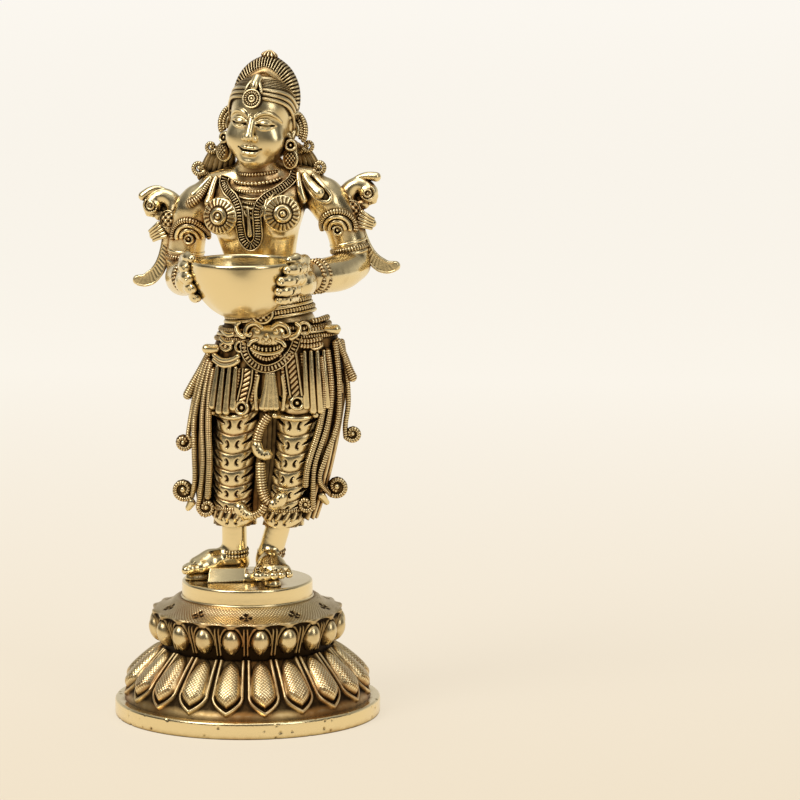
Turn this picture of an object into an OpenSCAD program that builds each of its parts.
// Brass lamp bearer: a standing figure that holds an oil bowl, on a double lotus pedestal.
// The front is -Y, the figure's left side is +X and the foot ring stands on z = 0.

/* [Pedestal] */
// Radius of the foot ring
foot_r = 56; // [50:0.5:64]
// Height of the foot ring
foot_h = 7; // [5:0.5:10]
// Height of the lower lotus
lower_h = 22; // [18:0.5:28]
// Radius of the neck between the two lotuses
neck_r = 36; // [33:0.5:39]
// Height of the upper lotus
upper_h = 21; // [18:0.5:26]
// Radius of the upper lotus over its petals
upper_r = 41.5; // [40:0.5:47]
// Number of petals on the lower lotus
lower_count = 20; // [16:1:24]
// Number of petals on the upper lotus
upper_count = 20; // [16:1:24]
// How far the petals stand out
petal_rise = 4.5; // [3:0.1:6]
// Wall of the hollow pedestal
wall = 4; // [3:0.5:6]
// Radius of the plinth disc
plinth_r = 27.5; // [25:0.5:31]
// Height of the plinth disc
plinth_h = 7; // [5:0.5:10]

/* [Fixing] */
// Diameter of the fixing stud
stud_d = 8; // [6:0.5:10]
// Radial clearance of the stud in the plinth disc
stud_clear = 0.08; // [0.05:0.01:0.1]
// Length of the stud below the washer
stud_tail = 10; // [8:0.5:14]
// Depth of the stud in the foot pad
stud_seat = 2.5; // [1.5:0.1:3]
// Outer diameter of the washer
washer_d = 22; // [18:0.5:26]
// Thickness of the washer
washer_t = 1.6; // [1:0.1:2.5]
// Width of the nut across its corners
nut_d = 15; // [13:0.5:18]
// Height of the nut
nut_h = 6.5; // [5:0.5:8]

/* [Figure] */
// Thickness of the pad under the feet
pad_h = 3.5; // [3.2:0.1:5]
// Height from the pad to the hem
ankle_h = 20; // [17:0.5:24]
// Height from the hem to the hip block
leg_h = 60; // [52:0.5:68]
// Height of the hip block
hip_h = 26; // [23:0.5:30]
// Height from the waist to the base of the neck
torso_h = 60; // [55:0.5:66]
// Length of the neck
neck_h = 5; // [4:0.5:8]
// Height of the head from the chin to the top of the skull
head_h = 37; // [34:0.5:41]
// Height of the crest above the skull
crest_h = 8; // [6:0.5:11]
// Half width of the hip block at its lower edge
hip_w = 31; // [29:0.5:35]
// Half depth of the hip block at its lower edge
hip_d = 15.5; // [14.5:0.5:19]
// Half width of the waist
waist_w = 14.5; // [13:0.5:17]
// Half width of the chest
chest_w = 20.5; // [19:0.5:23]
// Half depth of the chest
chest_d = 12; // [11:0.5:14]
// Half width of the neck
throat_w = 9.2; // [8.2:0.1:10]
// Radius of each draped leg at mid height
leg_r = 9; // [8:0.1:9.6]
// Radius of the ankles
ankle_r = 4.4; // [3.8:0.1:5.2]
// Half width of the head
head_w = 13; // [12:0.5:15]
// Half depth of the head
head_d = 14.5; // [13:0.5:17]
// Sideways shift of the chest from the body's middle line
chest_shift = -2.6; // [-4:0.1:0]
// Sideways lean of the upper body, in degrees
chest_roll = 4; // [0:0.5:7]
// Sideways tilt of the head, in degrees
head_tilt = 5; // [0:0.5:9]

/* [Arms] */
// Distance between the shoulder joints
shoulder_span = 50; // [46:0.5:56]
// Distance between the elbows
elbow_span = 72; // [68:0.5:78]
// Radius of the upper arm at the shoulder
arm_r = 7.5; // [6.5:0.1:8.5]
// Radius of the forearm at the wrist
wrist_r = 5.4; // [4.6:0.1:6.2]
// Thickness of the armlets and bangles
band_t = 1.6; // [1.2:0.1:2.2]

/* [Bowl] */
// Radius of the bowl at its rim
bowl_r = 22; // [20:0.5:25]
// Height of the bowl
bowl_h = 23; // [20:0.5:26]
// Radius of the underside of the bowl
bowl_foot_r = 8; // [6:0.5:10]
// Wall of the bowl
bowl_wall = 1.6; // [1.2:0.1:2.4]
// Distance of the bowl's axis in front of the body
bowl_reach = 38; // [37:0.5:44]
// Height of the rim above the waist
bowl_rise = 30; // [27:0.5:34]
// Thickness of the fingers round the bowl
finger_t = 5; // [4:0.1:6]

/* [Ornament] */
// Radius of the ribbed cords
cord_r = 1.4; // [1:0.1:1.7]
// Gap of a soldered seam
seam = 0.12; // [0.08:0.01:0.2]

/* [Hidden] */
polished = "#d8b45a";
antique = "#a98843";
steel = "#9aa0a6";
right = -1;
left = 1;
front = 270;
round_fn = 96;
ball_fn = 8;
body_n = 24;
scroll_steps = 10;

// Heights of the stacked pieces
neck_z = foot_h + lower_h;
plinth_z = neck_z + upper_h;
stand_z = plinth_z + plinth_h;
pad_z = stand_z + pad_h;
hem_z = pad_z + ankle_h;
hip_z = hem_z + leg_h;
waist_z = hip_z + hip_h;

// Sway of the body's middle line
ankle_x = [-5.5, 9];
hip_x = 12;
waist_x = 10.5;
lower_r = foot_r - 4;
spigot_r = 18;
spigot_h = 3;

function blend(a, b, c, d, t) =
  0.5 * (2 * b + (c - a) * t + (2 * a - 5 * b + 4 * c - d) * t * t
  + (3 * b - a - 3 * c + d) * t * t * t);

// A smooth curve through the points, with k steps between two of them
function curve(p, k) = let (last = len(p) - 1) [
  for (i = [0 : last - 1], j = [0 : k - 1])
    blend(p[max(i - 1, 0)], p[i], p[i + 1], p[min(i + 2, last)], j / k),
  p[last]
];
function unit(v) = v / norm(v);
function flip(p, side) = [side * p.x, p.y, p.z];

// A body is a list of ovals: [height, middle x, middle y, half width, half depth]
function column(body, k) = [for (s = body) [s[0], s[k]]];
function skin(body, z, a, lift = 0) =
  let (s = [for (k = [1 : 4]) lookup(z, column(body, k))])
  [s[0] + (s[2] + lift) * cos(a), s[1] + (s[3] + lift) * sin(a), z];
function oval(s, n, lift = 0) = [
  for (i = [0 : n - 1])
    [s[1] + (s[3] + lift) * cos(360 * i / n), s[2] + (s[4] + lift) * sin(360 * i / n), s[0]]
];

// Frames of the upper body and of the head
function chest(p) = [
  waist_x + p.x * cos(chest_roll) - p.z * sin(chest_roll), p.y,
  waist_z + p.x * sin(chest_roll) + p.z * cos(chest_roll)
];
chin_w = head_w * 0.34;
head_c = chest([0, 0, torso_h + neck_h + chin_w * sin(chest_roll + head_tilt) + seam]);
function head_at(p) = [
  head_c.x + p.x * cos(head_tilt) + p.z * sin(head_tilt), head_c.y + p.y,
  head_c.z - p.x * sin(head_tilt) + p.z * cos(head_tilt)
];
function all_chest(list) = [for (p = list) chest(p)];
function all_head(list) = [for (p = list) head_at(p)];

// Solid through a list of rings with the same number of points
module loft(rings) {
  n = len(rings[0]);
  m = len(rings);
  sides = [
    for (j = [0 : m - 2], i = [0 : n - 1])
      let (a = j * n + i, b = j * n + (i + 1) % n)
      each [[a, a + n, b + n], [a, b + n, b]]
  ];
  ends = [[for (i = [0 : n - 1]) i], [for (i = [n - 1 : -1 : 0]) (m - 1) * n + i]];
  polyhedron([for (r = rings) each r], concat(sides, ends), convexity = 6);
}

// Closed hoop through rings that return to the first one
module hoop(rings) {
  n = len(rings[0]);
  m = len(rings);
  faces = [
    for (j = [0 : m - 1], i = [0 : n - 1])
      let (k = (j + 1) % m, i2 = (i + 1) % n, a = j * n + i, b = j * n + i2, c = k * n + i, d = k * n + i2)
      each [[a, c, d], [a, d, b]]
  ];
  polyhedron([for (r = rings) each r], faces, convexity = 6);
}

// Plate between two grids of points, the inner and the outer one
module plate(inner, outer) {
  rows = len(inner);
  cols = len(inner[0]);
  loft([
    for (j = [0 : rows - 1])
      concat(inner[j], [for (i = [cols - 1 : -1 : 0]) outer[j][i]])
  ]);
}

function tube_ring(path, i, r, n, up) =
  let (last = len(path) - 1,
       t = unit(path[min(i + 1, last)] - path[max(i - 1, 0)]),
       u = unit(cross(up, t)), v = cross(t, u))
  [for (k = [0 : n - 1]) path[i] + r * (u * cos(360 * k / n) + v * sin(360 * k / n))];

// Round bar along a path, with one radius or a radius for each point
module tube(path, r, n = 8, up = [0, 1, 0]) {
  loft([for (i = [0 : len(path) - 1]) tube_ring(path, i, is_list(r) ? r[i] : r, n, up)]);
}

// Ring round a limb: a hoop with a round section
module ring_on(path, i, r, t, up, n = 18, sides = 5) {
  rim = tube_ring(path, i, r + t / 2, n, up);
  axis = unit(path[min(i + 1, len(path) - 1)] - path[max(i - 1, 0)]);
  hoop([
    for (p = rim) let (out = unit(p - path[i]))
      [for (k = [0 : sides - 1]) p + t / 2 * (out * cos(360 * k / sides) + axis * sin(360 * k / sides))]
  ]);
}

// Flat scroll in the XZ plane that winds in to its centre
function scroll(c, r, turns, start, side) = [
  for (i = [0 : scroll_steps])
    let (f = i / scroll_steps, a = start + side * 360 * turns * f, w = r * (1 - 0.72 * f))
    c + [w * cos(a), 0, w * sin(a)]
];

// Pedestal

module foot_ring() {
  edge = 1;
  color(polished) rotate_extrude($fn = round_fn)
    polygon([
      [lower_r - wall, 0], [foot_r - edge, 0], [foot_r, edge], [foot_r, foot_h - edge],
      [foot_r - edge, foot_h], [lower_r - wall, foot_h]
    ]);
}

function lower_core(t) = neck_r - 1 + (lower_r - neck_r + 1) * (1 - pow(t, 1.3));
function upper_core(t) = neck_r - 1 + (upper_r - petal_rise / 2 - neck_r) * sin(90 * min(1, t / 0.6));

// Petal that stands out from a lotus core
// Its rows are [share of the height, core radius, half width, rise]
module petal(rows, z0, h) {
  sink = 0.8;
  hull() for (row = rows) translate([row[1], 0, z0 + h * row[0]]) {
    for (k = [-1, 1]) translate([0, k * row[2], 0]) cube([sink, 0.2, 0.2], center = true);
    translate([row[3], 0, 0]) cube([0.2, row[2] * 1.1, 0.2], center = true);
  }
}

module lower_lotus() {
  steps = 5;
  top = [for (i = [0 : steps]) [lower_core(i / steps), foot_h + lower_h * i / steps]];
  under = [for (i = [steps : -1 : 0]) [lower_core(i / steps) - wall, foot_h + lower_h * i / steps]];
  half = 5.2;
  shape = [[0.95, 0.5, 0.3], [0.8, 0.75, 0.75], [0.5, 0.95, 1], [0.25, 0.95, 0.95], [0.06, 0.15, 0.4]];
  rows = [for (f = shape) [f[0], lower_core(f[0]) * cos(180 / lower_count), half * f[1], petal_rise * f[2]]];
  color(antique) union() {
    rotate(front + 180 / lower_count) rotate_extrude($fn = lower_count) polygon(concat(top, under));
    for (i = [0 : lower_count - 1]) rotate(front + 360 * i / lower_count) petal(rows, foot_h, lower_h);
  }
}

module upper_lotus() {
  steps = 4;
  shoulder_t = 0.72;
  top = [
    for (i = [0 : steps]) let (t = shoulder_t * i / steps) [upper_core(t), neck_z + upper_h * t]
  ];
  seat_r = plinth_r + 1;
  hole_r = (spigot_r + seam) / cos(180 / upper_count);
  half = 4.3;
  shape = [[0.7, 0.6, 0.3], [0.6, 1, 0.75], [0.42, 0.95, 0.85], [0.2, 0.6, 0.6], [0.05, 0.15, 0.2]];
  rows = [for (f = shape) [f[0], upper_core(f[0]) * cos(180 / upper_count), half * f[1], petal_rise * f[2]]];
  color(antique) union() {
    rotate(front + 180 / upper_count) rotate_extrude($fn = upper_count) polygon(concat(
      top,
      [[upper_core(1) - 1, neck_z + upper_h * 0.8], [seat_r, plinth_z], [hole_r, plinth_z],
       [hole_r, plinth_z - wall]],
      [for (i = [steps : -1 : 0]) [top[i][0] - wall, min(top[i][1], plinth_z - 1.5 * wall)]]
    ));
    for (i = [0 : upper_count - 1]) rotate(front + 360 * i / upper_count) petal(rows, neck_z, upper_h);
  }
}

module plinth_disc() {
  edge = 0.8;
  color(polished) difference() {
    rotate_extrude($fn = round_fn) polygon([
      [0, plinth_z - spigot_h], [spigot_r, plinth_z - spigot_h], [spigot_r, plinth_z],
      [plinth_r, plinth_z], [plinth_r, stand_z - edge], [plinth_r - edge, stand_z], [0, stand_z]
    ]);
    translate([0, 0, plinth_z - spigot_h - 1])
      cylinder(d = stud_d + 2 * stud_clear, h = plinth_h + spigot_h + 2, $fn = round_fn);
  }
}

// Fixing

module fixing_stud() {
  tail_z = plinth_z - spigot_h - washer_t - stud_tail;
  color(steel) translate([0, 0, tail_z])
    cylinder(d = stud_d, h = stand_z + stud_seat - tail_z, $fn = round_fn);
}

module washer() {
  color(steel) translate([0, 0, plinth_z - spigot_h - washer_t]) difference() {
    cylinder(d = washer_d, h = washer_t, $fn = round_fn);
    translate([0, 0, -1]) cylinder(d = stud_d + 2 * seam, h = washer_t + 2, $fn = round_fn);
  }
}

module nut() {
  color(steel) translate([0, 0, plinth_z - spigot_h - washer_t - nut_h]) difference() {
    cylinder(d = nut_d, h = nut_h, $fn = 6);
    translate([0, 0, -1]) cylinder(d = stud_d, h = nut_h + 2, $fn = round_fn);
  }
}

// Feet and legs

function foot_line(side) =
  side == right ? [[ankle_x[0], 2], [-25, -7]] : [[ankle_x[1], 1], [14.5, -18]];

module foot_pad() {
  corner = 4;
  color(antique) difference() {
    translate([0, 0, stand_z]) linear_extrude(pad_h) hull() {
      for (p = [[-15, -8], [1, -14], [16, -14], [13, 4], [-9, 6]]) translate(p) circle(corner, $fn = 32);
    }
    translate([0, 0, stand_z - 1]) cylinder(d = stud_d, h = stud_seat + 1, $fn = round_fn);
  }
}

module foot_ball(p, z, r) {
  translate([p.x, p.y, pad_z + z]) sphere(r, $fn = ball_fn);
}

function ankle_path(side) = let (i = side == right ? 0 : 1, lean = side == right ? 0 : 4) [
  [ankle_x[i], 1.5, pad_z + 5], [ankle_x[i] + lean * 0.3, 1, pad_z + ankle_h * 0.5],
  [ankle_x[i] + lean, 0.5, hem_z]
];

module foot(side) {
  line = foot_line(side);
  toe = line[1];
  heel = line[0];
  ahead = unit(toe - heel);
  across = [-ahead.y, ahead.x];
  toe_r = 1.9;
  toes = [-2, -1, 0, 1, 2];
  color(polished) intersection() {
    union() {
      hull() {
        foot_ball(heel + ahead * -2, 2.5, 4);
        foot_ball(heel, 6, ankle_r);
        foot_ball(heel + (toe - heel) * 0.6, 2, 4.4);
      }
      hull() {
        foot_ball(heel + (toe - heel) * 0.5, 2, 4.4);
        for (k = [-1, 1]) foot_ball(heel + (toe - heel) * 0.8 + across * 3.6 * k, 1.6, 2.6);
      }
      for (k = toes) hull() {
        foot_ball(heel + (toe - heel) * 0.75 + across * 1.6 * k, 2, toe_r);
        foot_ball(toe - ahead * (1 + abs(k - 1)) + across * 3 * k, 1.2, toe_r);
      }
      hull() {
        foot_ball(heel, 5, ankle_r);
        foot_ball(heel, 7, ankle_r);
      }
      tube(curve(ankle_path(side), 2), ankle_r, 14);
    }
    translate([-100, -100, pad_z]) cube([200, 200, ankle_h]);
  }
}

module anklets() {
  color(antique) for (side = [right, left]) {
    path = ankle_path(side);
    ring_on([path[1] - [0, 0, 1], path[1], path[1] + [0, 0, 1]], 1, ankle_r + seam, band_t, [0, 1, 0]);
  }
}

cuff_h = 4.5;

function leg_body(side) = curve(side == right
  ? [
    [hem_z, -5, 0, leg_r * 0.9, leg_r * 0.95], [hem_z + leg_h * 0.3, -4.6, -0.5, leg_r, leg_r],
    [hem_z + leg_h * 0.6, -4, -1, leg_r, leg_r * 1.05], [hip_z, -0.5, -1, leg_r * 1.15, leg_r * 1.15]
  ] : [
    [hem_z, 15.5, 0, leg_r * 0.85, leg_r * 0.95], [hem_z + leg_h * 0.3, 18.5, -0.5, leg_r * 0.92, leg_r],
    [hem_z + leg_h * 0.6, 21.5, -1, leg_r * 0.95, leg_r * 1.05],
    [hip_z, 23.5, -1, leg_r * 1.15, leg_r * 1.15]
  ], 3);

module leg(side) {
  color(antique) loft([for (s = leg_body(side)) oval(s, 20)]);
}

module hem_cuffs() {
  color(antique) for (side = [right, left]) {
    body = leg_body(side);
    hoop([
      for (i = [0 : 19]) let (a = 360 * i / 20) [
        skin(body, hem_z, a, seam), skin(body, hem_z, a, seam + band_t),
        skin(body, hem_z + cuff_h, a, seam + band_t), skin(body, hem_z + cuff_h, a, seam)
      ]
    ]);
  }
}

// Hips and drapes

hip_body = curve([
  [hip_z, hip_x, 0.5, hip_w, hip_d], [hip_z + hip_h * 0.5, hip_x + 0.5, 0.5, hip_w - 4, hip_d],
  [hip_z + hip_h * 0.8, hip_x, 0, hip_w - 8.5, hip_d - 1.5],
  [waist_z, waist_x, 0, waist_w + 4.5, hip_d - 2.5]
], 2);

drape_body = curve([
  [hem_z + 4, 5, 0.5, hip_w - 6, hip_d - 3], [hem_z + leg_h * 0.25, 6, 0.5, hip_w - 3, hip_d - 2],
  [hem_z + leg_h * 0.6, 8, 0.5, hip_w, hip_d - 0.5], [hip_z, hip_x, 0.5, hip_w, hip_d]
], 3);

module hips() {
  color(antique) loft([for (s = hip_body) oval(s, 32)]);
}

drape_t = 3.5;
drape_low = hem_z + cuff_h + 0.5;

module drape(a0, a1, cols, fold) {
  rows = 6;
  waves = cols - 1;
  function height(j) = drape_low + (hip_z - drape_low) * j / rows;
  function angle(i) = a0 + (a1 - a0) * i / waves;
  function depth(i) = i % 2 == 0 ? 0 : -fold;
  color(antique) plate(
    [for (j = [0 : rows]) [for (i = [0 : waves]) skin(drape_body, height(j), angle(i), -drape_t)]],
    [for (j = [0 : rows]) [for (i = [0 : waves]) skin(drape_body, height(j), angle(i), depth(i))]]
  );
}

function turn(a, side) = side == left ? a : 180 - a;

// Line down the hip block and the drape below it
function fall(a, side, z0, z1, lift, n) = [
  for (i = [0 : n])
    let (z = z0 + (z1 - z0) * i / n)
    skin(z > hip_z ? hip_body : drape_body, z, turn(a, side), lift)
];

scroll_r = 4.2;

module cords(side) {
  lift = cord_r + 2 * seam;
  color(antique) {
    for (k = [0 : 2]) {
      path = fall(-6 - 11 * k, side, hip_z + hip_h * 0.55, drape_low + 2 + 3 * k, lift, 8);
      tube(path, cord_r, 6);
    }
    for (f = [0.02, 0.4, 0.72]) edge_scroll(side, drape_low + (hip_z - drape_low) * f, 1 - 0.25 * f);
  }
}

// Scroll that stands out from the outer edge of a drape
module edge_scroll(side, z, size) {
  r = scroll_r * size;
  edge = skin(drape_body, z, turn(8, side), cord_r + seam);
  c = [edge.x + side * r, edge.y, z];
  start = side == left ? 180 : 0;
  tube(scroll(c, r, 1.25, start, side), [for (i = [0 : scroll_steps]) cord_r * (1.1 - 0.04 * i)], 6);
}

sash_t = 2.4;

// Point on the front of the hip block, carried straight down below it
function apron(z, a, lift) = let (p = skin(hip_body, max(z, hip_z), a, lift)) [p.x, p.y, z];

module front_sash() {
  low = hip_z - 10;
  high = hip_z + hip_h * 0.5;
  rows = 6;
  cols = 4;
  spread = 15;
  function angle(i, j) = front + 1 + spread * (i / cols - 0.5) * (1.5 - 0.5 * j / rows);
  function height(j) = low + (high - low) * j / rows;
  function pleat(i) = i % 2 == 0 ? sash_t : sash_t * 1.4;
  color(antique) plate(
    [for (j = [0 : rows]) [for (i = [0 : cols]) apron(height(j), angle(i, j), seam)]],
    [for (j = [0 : rows]) [for (i = [0 : cols]) apron(height(j), angle(i, j), pleat(i))]]
  );
}

// Middle of the gap between the legs
function side_x(side, z) = let (body = leg_body(side))
  lookup(z, column(body, 1)) - side * lookup(z, column(body, 3));
function gap_x(z) = (side_x(right, z) + side_x(left, z)) / 2;

// Ribbed tassels that hang in the gap between the legs and curl at the end
module sash_curls() {
  y = -leg_r * 0.9 - 0.4;
  size = 3.4;
  color(antique) {
    curl(hip_z - 14, hem_z + leg_h * 0.5, y, left, size);
    curl(hem_z + leg_h * 0.42, hem_z + leg_h * 0.2, y, left, size * 1.1);
    curl(hem_z + leg_h * 0.3, hem_z + leg_h * 0.05, y - 3.7, right, size * 1.1);
  }
}

module curl(z0, z1, y, side, r) {
  x = gap_x(z1);
  drop = [for (i = [0 : 4]) [gap_x(z0) + (x - gap_x(z0)) * i / 4 - side * r, y, z0 + (z1 - z0) * i / 4]];
  bend = scroll([x, y, z1], r, 0.8, side == left ? 180 : 0, side);
  tube(concat([for (i = [0 : 3]) drop[i]], bend), 1.7, 6);
}

// Girdle and its hangings

clasp_z = hip_z + hip_h * 0.78;
girdle_t = 2;

// Belt round the foot of the torso
module girdle() {
  h = 5;
  rise = 5;
  function at(z, a, lift) = chest(skin(torso_body, rise + z, a, lift));
  color(antique) hoop([
    for (i = [0 : 31]) let (a = 360 * i / 32)
      [at(-h / 2, a, 3 * seam), at(-h / 2, a, girdle_t), at(h / 2, a, girdle_t), at(h / 2, a, 3 * seam)]
  ]);
}

// Low domed boss on the hip block, its back lying along the surface
module boss(z, a, r, h, n = 14, base = 0) {
  c = skin(hip_body, z, a, seam + base);
  out = unit([cos(a) / hip_w, sin(a) / hip_d, 0]);
  u = [-out.y, out.x, 0];
  function disc(w, d) = [
    for (i = [0 : n - 1]) c + out * d + w * (u * cos(360 * i / n) + [0, 0, 1] * sin(360 * i / n))
  ];
  loft([disc(r, 0.6), disc(r, h * 0.5), disc(r * 0.75, h * 0.85), disc(r * 0.3, h + 0.4)]);
}

module lion_clasp() {
  color(antique) boss(clasp_z, front + 1, 6, 4, 16, 1);
}

module festoon() {
  r = 1.2;
  span = 12;
  drop = 11;
  color(antique) for (k = [-1, 1]) {
    tube([
      for (i = [0 : 10]) let (f = i / 10, a = front + k * (13 + span * f))
        skin(hip_body, clasp_z - 5.5 - drop * (1 - pow(2 * f - 1, 2)) * 0.5, a, r + seam + 0.4)
    ], r, 6);
  }
}

module tassels(side) {
  strands = 4;
  z0 = hip_z + hip_h * 0.26;
  z1 = hip_z - 8;
  color(antique) for (k = [0 : strands - 1]) {
    a = turn(-70 + 9 * k, side);
    spread = turn(-71 + 12 * k, side);
    tube([
      for (i = [0 : 6]) let (f = i / 6, z = z0 + (z1 - z0) * f)
        skin(z > hip_z ? hip_body : drape_body, z, a + (spread - a) * f, 1.7 + seam)
    ], [for (i = [0 : 6]) 1 + 0.1 * i], 6);
  }
}

module thigh_bosses() {
  color(antique) for (side = [right, left]) boss(hip_z + hip_h * 0.52, turn(-53, side), 3.6, 3);
}

// Torso

breast_r = 9.5;
breast_y = -5.5;
// Share of the chest's sideways shift at a share of the torso's height
shift_share = [[0, 0], [0.2, 0.4], [0.4, 0.8], [0.6, 1], [0.8, 0.8], [0.93, 0.3], [1, 0]];
function shift(t) = chest_shift * lookup(t, shift_share);
breast_t = 0.73;
function breast(side) = [shift(breast_t) + side * chest_w * 0.56, breast_y, torso_h * breast_t];

torso_body = curve([
  [0, 0, 0, waist_w + 4.5, hip_d - 2.5],
  [torso_h * 0.2, shift(0.2), 0, waist_w + 0.6, chest_d - 1],
  [torso_h * 0.4, shift(0.4), 0, waist_w, chest_d - 1.5],
  [torso_h * 0.6, shift(0.6), 0, waist_w + 2.5, chest_d - 0.5],
  [torso_h * 0.8, shift(0.8), 0, chest_w, chest_d],
  [torso_h * 0.93, shift(0.93), 0, chest_w - 1, chest_d - 2.5],
  [torso_h, 0, 0, throat_w + 0.6, throat_w - 0.4], [torso_h + neck_h, 0, 0, throat_w, throat_w - 0.8]
], 2);

module torso() {
  flat = oval([waist_z, waist_x, 0, waist_w + 4.5, hip_d - 2.5], body_n);
  color(polished) union() {
    loft(concat([flat], [for (i = [1 : len(torso_body) - 1]) all_chest(oval(torso_body[i], body_n))]));
    for (side = [right, left]) ball(chest(breast(side)), breast_r, 14);
  }
}

module ball(c, r, n) {
  loft([
    for (j = [0 : n / 2]) let (b = -89 + 178 * j / (n / 2))
      [for (i = [0 : n - 1]) c + r * [cos(b) * cos(360 * i / n), cos(b) * sin(360 * i / n), sin(b)]]
  ]);
}

module breast_disc(side) {
  cover = 46;
  rays = 16;
  t = 1.3;
  boss_t = 2.4;
  c = chest(breast(side));
  out = unit([side * 0.35, -1, 0.05]);
  u = unit(cross([0, 0, 1], out));
  v = cross(out, u);
  function at(b, r, i) =
    c + r * (out * cos(b) + sin(b) * (u * cos(360 * i / rays) + v * sin(360 * i / rays)));
  function cap(b, r) = [for (i = [0 : rays - 1]) at(b, r, i)];
  r0 = breast_r + seam;
  loft(concat(
    [for (b = [1, 16, 31, cover]) cap(b, r0)],
    [for (b = [cover, 31, 16, 10, 1]) cap(b, r0 + (b < 12 ? boss_t : t))]
  ));
}

module breast_discs() {
  color(antique) for (side = [right, left]) breast_disc(side);
}

module necklace() {
  n = 24;
  color(antique) for (k = [0, 1]) {
    z = torso_h + neck_h * 0.45 - 2.6 * k;
    hoop([
      for (i = [0 : n - 1]) let (a = 360 * i / n, p = skin(torso_body, z + 1.2 * sin(a), a, seam))
        [chest(p), chest(skin(torso_body, z - 1 + 1.2 * sin(a), a, 1.7)),
         chest(skin(torso_body, z + 1 + 1.2 * sin(a), a, 1.7))]
    ]);
  }
}

garland_r = 1.7;
module garland() {
  half = [
    [13, -3.3, torso_h * 0.935], [11.5, -9.8, torso_h * 0.9], [6.5, -14.8, torso_h * 0.83],
    [3.4, -15.5, torso_h * 0.72], [3.6, -15, torso_h * 0.6], [0, -14.4, torso_h * 0.5]
  ];
  path = concat([for (p = half) flip(p, left)], [for (i = [4 : -1 : 0]) flip(half[i], right)]);
  shifted = [for (p = path) p + [shift(p.z / torso_h), 0, 0]];
  color(antique) difference() {
    tube(all_chest(curve(shifted, 3)), garland_r, 8, [0.2, 1, 0.3]);
    grown_torso();
  }
}

module grown_torso() {
  loft([for (s = torso_body) all_chest(oval(s, body_n, seam))]);
  for (side = [right, left]) ball(chest(breast(side)), breast_r + 2.1, 14);
}

// Leaf shaped straps that hang over each shoulder
module lappets(side) {
  r = 1.5;
  color(antique) difference() {
    for (k = [0, 1]) tube(
      all_chest([for (p = curve([
        [18 + 3.5 * k, -4, torso_h * 0.95], [18.4 + 3.8 * k, -9.5 + 1.5 * k, torso_h * 0.87],
        [19.4 + 3.2 * k, -12.5 + 3 * k, torso_h * (0.76 + 0.02 * k)]
      ], 3)) flip(p, side)]),
      [for (i = [0 : 6]) r + 0.06 * i], 8);
    grown_torso();
    limb(side, seam);
  }
}

// Head

head_body = curve([
  [0, 0, -3.5, chin_w, head_d * 0.5], [head_h * 0.07, 0, -1.8, head_w * 0.64, head_d * 0.8],
  [head_h * 0.22, 0, -0.6, head_w * 0.9, head_d * 0.93], [head_h * 0.45, 0, 0, head_w, head_d],
  [head_h * 0.7, 0, 0, head_w * 0.99, head_d], [head_h * 0.88, 0, 0.6, head_w * 0.82, head_d * 0.84],
  [head_h, 0, 1, head_w * 0.4, head_d * 0.42]
], 2);

module grown_head(grow) {
  loft([for (s = head_body) all_head(oval(s, body_n, grow))]);
}

module head() {
  nose = [
    [0, -head_d - 0.2, head_h * 0.58], [0, -head_d - 2.6, head_h * 0.38], [0, -head_d - 0.4, head_h * 0.33]
  ];
  color(polished) union() {
    grown_head(0);
    tube(all_head(nose), [1, 1.9, 1.6], 8, [1, 0, 0]);
  }
}

hair_t = 2;

module hair() {
  n = body_n;
  high = head_h * 0.9;
  steps = 4;
  function low(a) = head_h * (0.66 - 0.46 * pow((1 + sin(a)) / 2, 0.8));
  function height(a, j) = low(a) + (high - low(a)) * j / steps;
  color(antique) difference() {
    hoop([
      for (i = [0 : n - 1]) let (a = 360 * i / n) all_head(concat(
        [for (j = [0 : steps]) skin(head_body, height(a, j), a, -seam)],
        [for (j = [steps : -1 : 0]) skin(head_body, height(a, j), a, hair_t)]
      ))
    ]);
    grown_head(seam);
  }
}

crest_body = curve([
  [head_h * 0.78, 0, 3, head_w * 1.08, head_d * 0.48], [head_h * 0.95, 0, 3, head_w, head_d * 0.45],
  [head_h + crest_h * 0.35, 0, 2.6, head_w * 0.72, head_d * 0.38],
  [head_h + crest_h * 0.75, 0, 2.2, head_w * 0.4, head_d * 0.26],
  [head_h + crest_h, 0, 2, head_w * 0.14, head_d * 0.12]
], 2);

module crest() {
  color(antique) difference() {
    loft([for (s = crest_body) all_head(oval(s, body_n))]);
    grown_head(hair_t + seam);
  }
}

module crest_finial() {
  r = 2;
  color(antique) loft([
    for (k = [0 : 5]) let (w = [0.7, 1, 1.1, 0.8, 0.5, 0.15][k])
      all_head(oval([head_h + crest_h + seam + k * 0.9, 0, 2, r * w, r * w], 12))
  ]);
}

module forehead_jewel() {
  n = 16;
  z = head_h * 0.7;
  y = -head_d - hair_t - seam;
  function disc(w, d) = all_head([
    for (i = [0 : n - 1]) [w * cos(360 * i / n), y - d, z - w * sin(360 * i / n)]
  ]);
  color(antique) loft([disc(3.6, 0), disc(3.6, 1), disc(2.8, 1.6), disc(1, 2)]);
}

ear_y = 1;
ear_z = head_h * 0.62;
ear_r = 5.2;
module ear_flower(side) {
  n = 12;
  x = side * (head_w + hair_t + seam);
  function disc(w, d) = all_head([
    for (i = [0 : n - 1])
      [x + side * d, ear_y + w * cos(360 * i / n), ear_z + 1.3 * side * w * sin(360 * i / n)]
  ]);
  loft([disc(ear_r - 0.2, 0), disc(ear_r, 2), disc(ear_r - 1, 4), disc(ear_r - 3.6, 5)]);
}

module ear_flowers() {
  color(antique) for (side = [right, left]) ear_flower(side);
}

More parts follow.
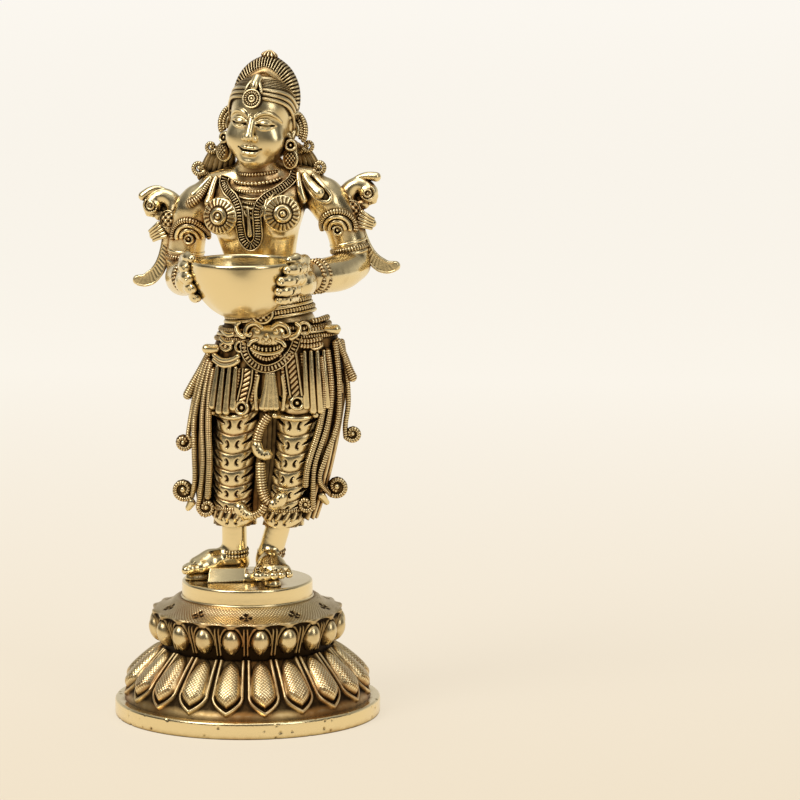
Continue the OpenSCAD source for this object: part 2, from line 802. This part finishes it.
module earrings() {
  n = 12;
  low = ear_z - 1.3 * ear_r - 13.6;
  color(antique) for (side = [right, left]) {
    x = side * (head_w + hair_t + 1.1);
    loft([
      for (k = [0 : 6]) let (w = [0.8, 2.4, 3, 2.8, 2.4, 1.8, 0.8][k])
        all_head(oval([low + k * 2.2, x, 0.5, w, w], n))
    ]);
  }
}

// Curled locks of hair that rest on the shoulder, one above the other
module curls(side) {
  r = 3.4;
  t = 1.7;
  low = [head_c.x + side * 25.6, 1.5, shoulder(side).z + arm_r + seam + r + t];
  high = low + [-side * 4.2, 3.3, 6.3];
  taper = [for (i = [0 : scroll_steps]) t * (1 - 0.06 * i)];
  color(antique) {
    tube(scroll(low, r, 1.1, front, -side), taper, 6);
    tube(scroll(high, r, 1.1, front + side * 32, -side), taper, 6);
  }
}

// Arms

bowl_c = [waist_x - 4.5, -bowl_reach, waist_z + bowl_rise];
wrist_a = 24;
hand_r = bowl_r + seam + finger_t / 2;

function shoulder(side) = chest([side * shoulder_span / 2, 0, torso_h * 0.86]);
function elbow(side) = chest([side * elbow_span / 2, 4, torso_h * 0.36]);
function wrist(side) = bowl_c + [side * (hand_r + 1) * cos(wrist_a), (hand_r + 1) * sin(wrist_a), -8];

function arm_path(side) = curve([
  shoulder(side) + [-side * 2, 0, 1], shoulder(side) + [side * 3, 0.5, -4],
  (shoulder(side) + elbow(side)) / 2 + [side * 2.5, 1.5, 2], elbow(side)
], 3);
function arm_radii() = [for (i = [0 : 9]) arm_r - 0.5 * sin(18 * i) + (i > 7 ? -0.3 * (i - 7) : 0)];

// Upper arm with a rounded shoulder and elbow, grown by a margin where it cuts another piece
module limb(side, grow = 0) {
  ball(shoulder(side), arm_r + grow, 16);
  tube(arm_path(side), [for (r = arm_radii()) r + grow], 16);
  ball(elbow(side), arm_r - 0.6 + grow, 16);
}

module upper_arm(side) {
  color(polished) difference() {
    limb(side);
    grown_torso();
  }
}

// Stretch of the arm path that the armlet covers, in points of the path
band_from = 5.2;
band_to = 7.4;

module armlet(side) {
  path = arm_path(side);
  r = arm_radii();
  color(antique) arm_band(path, r, band_from, band_to);
}

// Band round the arm, grown by a margin where it cuts another piece
module arm_band(path, r, from, to, grow = 0) {
  steps = 3;
  n = 16;
  rings = [for (j = [0 : steps]) from + (to - from) * j / steps];
  function ring(i, lift) = tube_ring(path, i, r[i] + lift, n, [0, 1, 0]);
  function between(f, lift) = let (i = floor(f), t = f - i, a = ring(i, lift), b = ring(i + 1, lift))
    [for (k = [0 : n - 1]) a[k] * (1 - t) + b[k] * t];
  function thick(j) = band_t * (j == 0 || j == steps ? 0.6 : 1.2);
  inner = [for (f = rings) between(f, seam - grow)];
  outer = [for (j = [0 : steps]) between(rings[j], thick(j) + grow)];
  hoop([
    for (k = [0 : n - 1])
      concat([for (j = [0 : steps]) inner[j][k]], [for (j = [steps : -1 : 0]) outer[j][k]])
  ]);
}

function forearm_path(side) = curve([
  elbow(side), elbow(side) * 0.62 + wrist(side) * 0.38 + [side * 1.5, 0, -1.5], wrist(side)
], 4);
function forearm_radii() = [
  for (i = [0 : 8]) wrist_r + 0.9 * sin(22.5 * i) + (arm_r - wrist_r) * 0.4 * (1 - i / 8)
];

module forearm(side) {
  color(polished) difference() {
    tube(forearm_path(side), forearm_radii(), 16, [0, 0, 1]);
    limb(side, seam);
    hand_block(side, seam);
    bowl_block(3 * seam);
  }
}

module bangles(side) {
  path = forearm_path(side);
  r = forearm_radii();
  color(antique) for (i = [5, 6]) ring_on(path, i, r[i] + 0.5, band_t, [0, 0, 1]);
}

function bowl_profile(d) =
  bowl_foot_r + (bowl_r - bowl_foot_r) * pow(1 - pow(min(max(d, 0), bowl_h) / bowl_h, 2.2), 0.75);

// Solid outline of the bowl, grown by a margin
module bowl_block(grow) {
  steps = 6;
  n = 24;
  function at(d, k) = let (r = bowl_profile(d) + grow, a = 360 * k / n)
    bowl_c + [r * cos(a), r * sin(a), -d];
  loft([for (i = [0 : steps]) [for (k = [0 : n - 1]) at(bowl_h * (1 - i / steps), k)]]);
}

// Fingers and palm as a plate bent round the bowl
module hand_block(side, grow = 0) {
  rows = 12;
  cols = 7;
  finger_h = 4.3;
  function angle(i) = turn(wrist_a - (wrist_a + 48) * i / cols, side);
  function out(j) = finger_t + 0.5 * cos(360 * (j / rows) * 4 + 180) + grow;
  function point(i, j, lift) = let (d = 0.8 + 4 * finger_h * j / rows, r = bowl_profile(d) + lift)
    bowl_c + [r * cos(angle(i)), r * sin(angle(i)), -d];
  plate(
    [for (j = [rows : -1 : 0]) [for (i = [0 : cols]) point(i, j, seam - max(grow, 0))]],
    [for (j = [rows : -1 : 0]) [for (i = [0 : cols]) point(i, j, out(j) * (i == cols ? 0.55 : 1))]]
  );
}

module hand(side) {
  color(polished) hand_block(side);
}

module lamp_bowl() {
  steps = 12;
  outer = [for (i = [0 : steps]) let (d = bowl_h * (1 - i / steps)) [bowl_profile(d), bowl_c.z - d]];
  inner = [
    for (i = [steps : -1 : 0]) let (d = (bowl_h - bowl_wall) * (1 - i / steps))
      [max(bowl_profile(d * bowl_h / (bowl_h - bowl_wall)) - bowl_wall, 0), bowl_c.z - d]
  ];
  color(polished) translate([bowl_c.x, bowl_c.y, 0]) rotate_extrude($fn = round_fn)
    polygon(concat([[0, bowl_c.z - bowl_h]], outer, inner, [[0, bowl_c.z - bowl_h + bowl_wall]]));
}

// Parrots

// Round body, bent head with a hooked beak, leaf on the crown and long curved tail
perch = [40.5, 4.5, torso_h * 0.705];

module parrot(side) {
  neck = [[-4.5, 0, 2.5], [-3.2, 0, 6.5], [0.6, 0, 9.4], [5.2, 0, 7.6]];
  neck_size = [4.8, 4.9, 4.4, 4.3];
  belly = [[-3, 0, 3], [0, 0, -0.5], [3.4, 0, -5.4]];
  belly_size = [5.2, 5.4, 3.8];
  beak = [[8.4, -0.6, 7], [9, -0.8, 4.8], [7.4, -1, 2.8]];
  beak_size = [2.2, 1.8, 1.2];
  leaf = [[0.5, 0, 12.6], [5, -0.2, 12.8], [10.6, -0.4, 11.4]];
  leaf_size = [1.6, 2, 1.7];
  tail = [[2.5, 0.5, -6.5], [4.6, 0.5, -14.6], [7.4, 0.4, -21.4], [11.4, 0.3, -25.2], [16.6, 0.2, -26.2]];
  tail_size = [2.9, 2.8, 2.9, 3.2, 2.2];
  r = arm_radii();
  clear = [for (i = [0 : 9]) r[i] + (i < band_from - 1 || i > band_to + 1 ? seam : 1.2 * band_t + 3 * seam)];
  color(antique) difference() {
    union() {
      parrot_chain(neck, neck_size, side);
      parrot_chain(belly, belly_size, side);
      parrot_chain(beak, beak_size, side);
      parrot_chain(leaf, leaf_size, side);
      parrot_chain(tail, tail_size, side);
    }
    tube(arm_path(side), clear, 16);
  }
}

// Round bar with drawn in ends
module parrot_chain(points, size, side) {
  n = len(points) - 1;
  first = points[0] + 0.8 * size[0] * unit(points[0] - points[1]);
  last = points[n] + 0.8 * size[n] * unit(points[n] - points[n - 1]);
  path = [for (p = concat([first], points, [last])) chest(flip(perch + p, side))];
  tube(path, concat([size[0] * 0.5], size, [size[n] * 0.5]), 9);
}

module right_foot() foot(right);
module left_foot() foot(left);
module right_leg() leg(right);
module left_leg() leg(left);
module right_drape() drape(158, 214, 9, 0.8);
module left_drape() drape(-34, 22, 9, 0.8);
module back_drape() drape(24, 156, 13, 1.2);
module right_cords() cords(right);
module left_cords() cords(left);
module right_tassels() tassels(right);
module left_tassels() tassels(left);
module right_lappets() lappets(right);
module left_lappets() lappets(left);
module right_curls() curls(right);
module left_curls() curls(left);
module right_upper_arm() upper_arm(right);
module left_upper_arm() upper_arm(left);
module right_armlet() armlet(right);
module left_armlet() armlet(left);
module right_forearm() forearm(right);
module left_forearm() forearm(left);
module right_bangles() bangles(right);
module left_bangles() bangles(left);
module right_hand() hand(right);
module left_hand() hand(left);
module right_parrot() parrot(right);
module left_parrot() parrot(left);

foot_ring();
lower_lotus();
upper_lotus();
plinth_disc();
fixing_stud();
washer();
nut();
foot_pad();
right_foot();
left_foot();
anklets();
right_leg();
left_leg();
hem_cuffs();
hips();
right_drape();
left_drape();
back_drape();
right_cords();
left_cords();
front_sash();
sash_curls();
girdle();
lion_clasp();
festoon();
right_tassels();
left_tassels();
thigh_bosses();
torso();
breast_discs();
necklace();
garland();
right_lappets();
left_lappets();
head();
hair();
crest();
crest_finial();
forehead_jewel();
ear_flowers();
earrings();
right_curls();
left_curls();
right_upper_arm();
left_upper_arm();
right_armlet();
left_armlet();
right_forearm();
left_forearm();
right_bangles();
left_bangles();
right_hand();
left_hand();
lamp_bowl();
right_parrot();
left_parrot();
